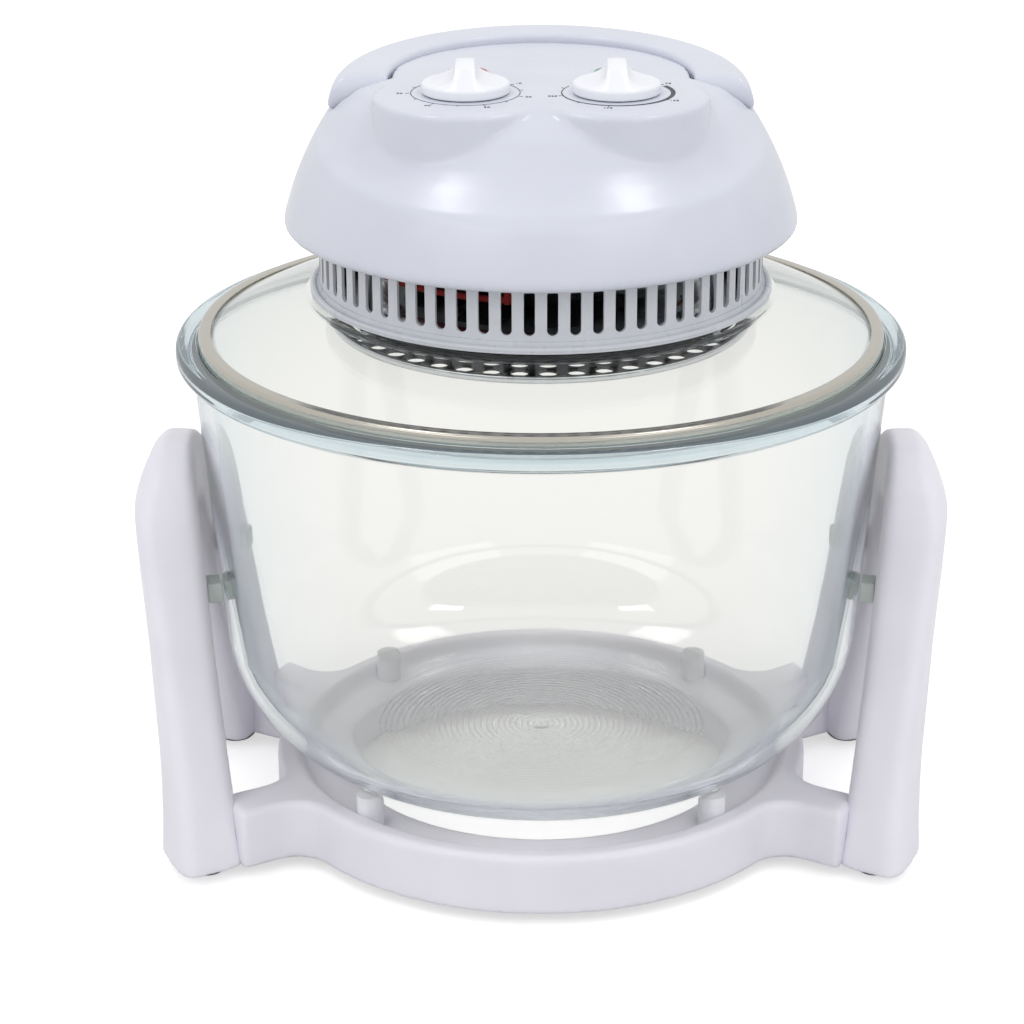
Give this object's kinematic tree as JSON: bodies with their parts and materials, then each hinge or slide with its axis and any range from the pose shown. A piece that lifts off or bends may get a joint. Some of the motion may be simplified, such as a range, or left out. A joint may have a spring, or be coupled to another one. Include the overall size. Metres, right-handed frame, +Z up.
{
  "type": "halogen oven",
  "caption": "Table-top halogen oven: glass bowl in a moulded stand with side grips, lift-off glass lid with a vented heater, fan, timer and thermostat head and fold-up carrying handle.",
  "frame": {"origin": "on the table, under the centre of the round bowl", "axes": "+Z up, the sloped control side faces -Y, the two side grips stand at -X and +X"},
  "size_m": [0.318, 0.2798, 0.3147],
  "materials": {
    "stand_plastic": "semi-gloss moulded white",
    "frame_plastic": "semi-gloss moulded white",
    "zinc_steel": "bright zinc plate",
    "foot_rubber": "matte",
    "pad_rubber": "matte grey-green",
    "bowl_glass": "clear tempered glass",
    "lid_glass": "clear tempered glass",
    "band_steel": "spun stainless",
    "gasket_silicone": "matte silicone",
    "collar_paint": "light grey stove paint",
    "reflector_aluminium": "polished spun aluminium",
    "quartz": "clear quartz",
    "tungsten": "dull coil",
    "lamp_ceramic": "matte steatite",
    "guard_enamel": "black enamel",
    "rim_chrome": "polished",
    "plate_steel": "zinc-coated sheet",
    "motor_steel": "laminated steel",
    "red_wire": "silicone-sleeved wire",
    "head_plastic": "gloss moulded white",
    "copper": "drawn copper",
    "dark_plastic": "matte moulded",
    "red_lens": "clear tinted lens",
    "green_lens": "clear tinted lens",
    "handle_plastic": "gloss moulded white",
    "red_plastic": "satin moulded",
    "knob_plastic": "gloss moulded white"
  },
  "bodies": {
    "stand": {"base_ring": "stand_plastic", "side_frame_left": "frame_plastic", "side_frame_right": "frame_plastic", "stand_screws": "zinc_steel", "stand_feet": "foot_rubber", "bowl_pads": "pad_rubber", "side_pads": "pad_rubber"},
    "bowl": {"bowl": "bowl_glass"},
    "lid": {"lid_glass": "lid_glass", "lid_band": "band_steel", "lid_gasket": "gasket_silicone", "clamp_ring": "zinc_steel", "vent_collar": "collar_paint", "reflector": "reflector_aluminium", "halogen_tube": "quartz", "filament": "tungsten", "lamp_holders": "lamp_ceramic", "lamp_clips": "zinc_steel", "guard_plate": "guard_enamel", "guard_rim": "rim_chrome", "tie_rods": "zinc_steel", "mounting_plate": "plate_steel", "motor": "motor_steel", "lamp_wires": "red_wire", "head_shell": "head_plastic", "head_screws": "zinc_steel", "timer_unit": "plate_steel", "thermostat_unit": "plate_steel", "thermostat_bulb": "copper", "microswitch": "dark_plastic", "red_lens": "red_lens", "green_lens": "green_lens", "handle_pins": "zinc_steel", "cord_gland": "dark_plastic"},
    "carrying_handle": {"handle": "handle_plastic"},
    "plunger": {"switch_plunger": "red_plastic"},
    "timer_dial": {"timer_knob": "knob_plastic", "timer_spindle": "zinc_steel"},
    "thermostat_dial": {"thermostat_knob": "knob_plastic", "thermostat_spindle": "zinc_steel"},
    "rotor": {"motor_shaft": "zinc_steel", "cooling_fan": "dark_plastic", "convection_fan": "plate_steel", "fan_nut": "zinc_steel"}
  },
  "joints": [
    {"name": "bowl_lift", "type": "slide", "parent": "stand", "child": "bowl", "axis": [0, 0, 1], "range_m": [0, 0.18]},
    {"name": "lid_lift", "type": "slide", "parent": "bowl", "child": "lid", "axis": [0, 0, 1], "range_m": [0, 0.15]},
    {"name": "handle_fold", "type": "hinge", "parent": "lid", "child": "carrying_handle", "pos_m": [0, 0.003, 0.29455], "axis": [1, 0, 0], "range_deg": [0, 88]},
    {"name": "plunger_travel", "type": "slide", "parent": "lid", "child": "plunger", "axis": [0, 0, 1], "range_m": [0, 0.0016]},
    {"name": "timer_turn", "type": "hinge", "parent": "lid", "child": "timer_dial", "pos_m": [-0.0275, -0.029, 0.301], "axis": [0, 0, -1], "range_deg": [0, 320]},
    {"name": "thermostat_turn", "type": "hinge", "parent": "lid", "child": "thermostat_dial", "pos_m": [0.0275, -0.029, 0.301], "axis": [0, 0, -1], "range_deg": [0, 290]},
    {"name": "fan_spin", "type": "hinge", "parent": "lid", "child": "rotor", "pos_m": [0, 0, 0.25], "axis": [0, 0, 1], "continuous": true}
  ],
  "couplings": [
    {"joint": "plunger_travel", "follows": "handle_fold", "m_per_rad": 0.00098}
  ]
}
